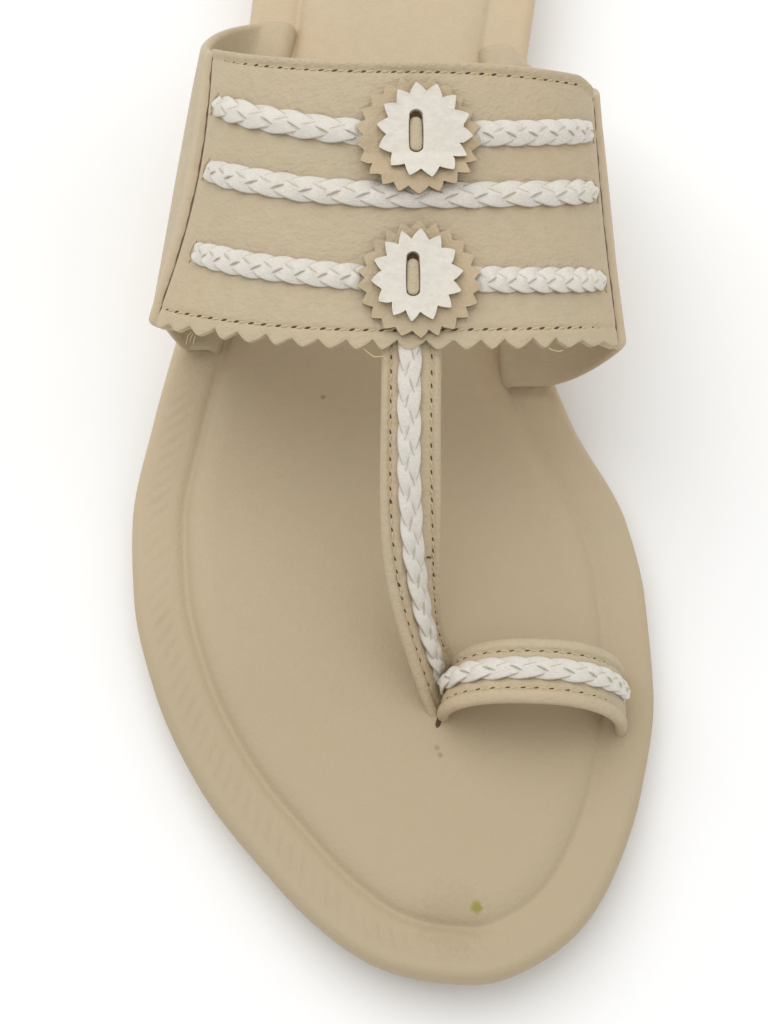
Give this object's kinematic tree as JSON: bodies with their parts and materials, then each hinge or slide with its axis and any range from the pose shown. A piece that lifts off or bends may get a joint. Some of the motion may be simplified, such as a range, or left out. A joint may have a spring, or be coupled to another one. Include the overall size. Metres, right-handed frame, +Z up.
{
  "type": "kolhapuri toe loop sandal",
  "caption": "Flat slip-on sandal with a wide braided band, rosettes, centre strap and toe loop on a padded leather footbed and low-heeled rubber sole.",
  "frame": {"origin": "centre of the bounding box in plan, on the floor under the sole", "axes": "+Z up from the floor, +Y from toe to heel, +X to the inner side of the foot with the big toe"},
  "size_m": [0.093, 0.25, 0.0697],
  "materials": {
    "sole_rubber": "matte moulded beige rubber",
    "footbed_leather": "matte beige faux leather, fine grain",
    "strap_leather": "matte beige faux leather, fine pebbled grain",
    "braid_leather": "satin off-white faux leather, finely wrinkled"
  },
  "bodies": {
    "root": {"outsole": "sole_rubber", "footbed": "footbed_leather", "strap_upper": "strap_leather", "band_panel": "strap_leather", "band_braid_back_lateral": "braid_leather", "band_braid_back_medial": "braid_leather", "band_braid_middle": "braid_leather", "band_braid_front_lateral": "braid_leather", "band_braid_front_medial": "braid_leather", "centre_braid": "braid_leather", "toe_loop_braid": "braid_leather", "rosette_disc_back": "strap_leather", "rosette_disc_front": "strap_leather", "rosette_star_back": "braid_leather", "rosette_star_front": "braid_leather", "rosette_bar_back": "strap_leather", "rosette_bar_front": "strap_leather"}
  },
  "joints": []
}
